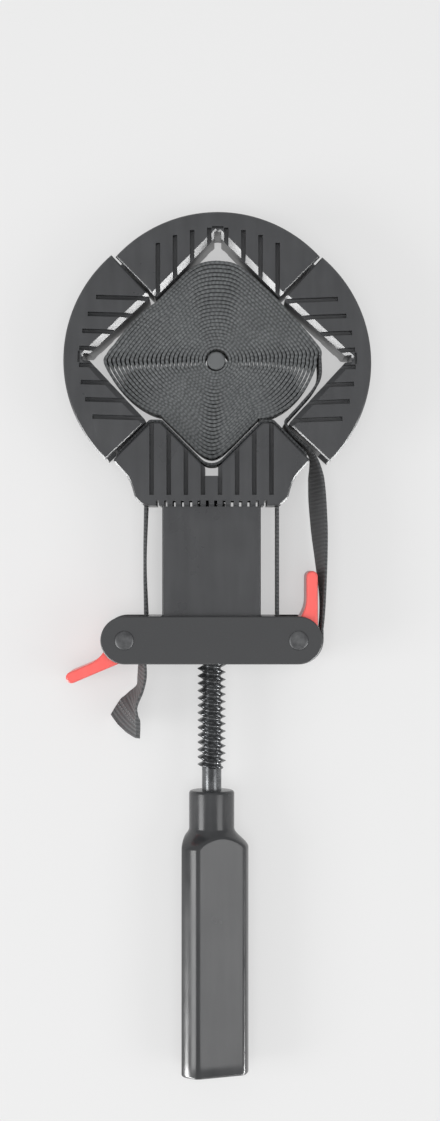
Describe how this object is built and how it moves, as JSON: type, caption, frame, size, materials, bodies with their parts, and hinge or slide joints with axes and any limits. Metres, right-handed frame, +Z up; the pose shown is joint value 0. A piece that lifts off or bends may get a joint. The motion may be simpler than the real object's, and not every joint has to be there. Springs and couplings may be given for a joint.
{
  "type": "picture frame band clamp",
  "caption": "Band clamp for picture frames: corner jaws, a woven band wound up between them, a crossbar with cam levers on a guide tongue, and a threaded spindle with a hand grip.",
  "frame": {"origin": "on the underside of the main jaw, on the spindle's axis, 4.6 mm behind the main jaw's V corner", "axes": "+Y along the spindle from the handle towards the jaws, +Z up from the surface that the clamp lies on, +X to the side of the open lever"},
  "size_m": [0.1232, 0.348, 0.0324],
  "materials": {
    "black_plastic": "moulded black glass-filled nylon with a fine satin grain",
    "woven_band": "flat-woven black polyester webbing",
    "coral_plastic": "moulded coral red nylon, satin",
    "painted_steel": "black powder-coated steel plate",
    "bright_steel": "zinc-plated steel",
    "blackened_steel": "black-oxidised steel, slightly oily"
  },
  "bodies": {
    "main_jaw": {"main_jaw": "black_plastic", "guide_tongue": "black_plastic", "thrust_pad": "bright_steel", "keeper_plate": "bright_steel", "band_loop": "woven_band", "band_coil": "woven_band", "coil_core": "black_plastic"},
    "spindle": {"spindle": "blackened_steel", "handle": "black_plastic", "handle_pin": "bright_steel"},
    "crossbar": {"crossbar_block": "black_plastic", "crossbar_top_plate": "painted_steel", "crossbar_bottom_plate": "painted_steel", "spindle_nut": "bright_steel", "pivot_pin_left": "bright_steel", "pivot_pin_right": "bright_steel", "band_strand_left": "woven_band", "band_strand_right": "woven_band", "band_tail": "woven_band", "band_wrap": "woven_band", "band_run": "woven_band"},
    "lever_left": {"lever_left": "coral_plastic"},
    "lever_right": {"lever_right": "coral_plastic"},
    "jaw_left": {"jaw_left": "black_plastic"},
    "jaw_top": {"jaw_top": "black_plastic"},
    "jaw_right": {"jaw_right": "black_plastic"}
  },
  "joints": [
    {"name": "spindle_turn", "type": "hinge", "parent": "main_jaw", "child": "spindle", "pos_m": [0, 0, 0.016], "axis": [0, 1, 0], "range_deg": [-4560, 1680]},
    {"name": "crossbar_slide", "type": "slide", "parent": "main_jaw", "child": "crossbar", "axis": [0, -1, 0], "range_m": [-0.038, 0.014], "deforming": ["band_strand_left", "band_strand_right", "band_run"]},
    {"name": "lever_left_turn", "type": "hinge", "parent": "crossbar", "child": "lever_left", "pos_m": [-0.0349, -0.0622, 0.016], "axis": [0, 0, 1], "range_deg": [-113, 0]},
    {"name": "lever_right_turn", "type": "hinge", "parent": "crossbar", "child": "lever_right", "pos_m": [0.0349, -0.0622, 0.016], "axis": [0, 0, 1], "range_deg": [-113, 0], "deforming": ["band_wrap", "band_run"]},
    {"name": "jaw_left_slide", "type": "slide", "parent": "main_jaw", "child": "jaw_left", "axis": [-0.7071, 0.7071, 0], "range_m": [0, 0.05]},
    {"name": "jaw_right_slide", "type": "slide", "parent": "main_jaw", "child": "jaw_right", "axis": [0.7071, 0.7071, 0], "range_m": [0, 0.05]},
    {"name": "jaw_top_slide", "type": "slide", "parent": "jaw_left", "child": "jaw_top", "axis": [0.7071, 0.7071, 0], "range_m": [0, 0.05]}
  ],
  "couplings": [
    {"joint": "spindle_turn", "follows": "crossbar_slide", "rad_per_m": 2094.4},
    {"joint": "jaw_top_slide", "follows": "jaw_right_slide", "ratio": 1}
  ]
}
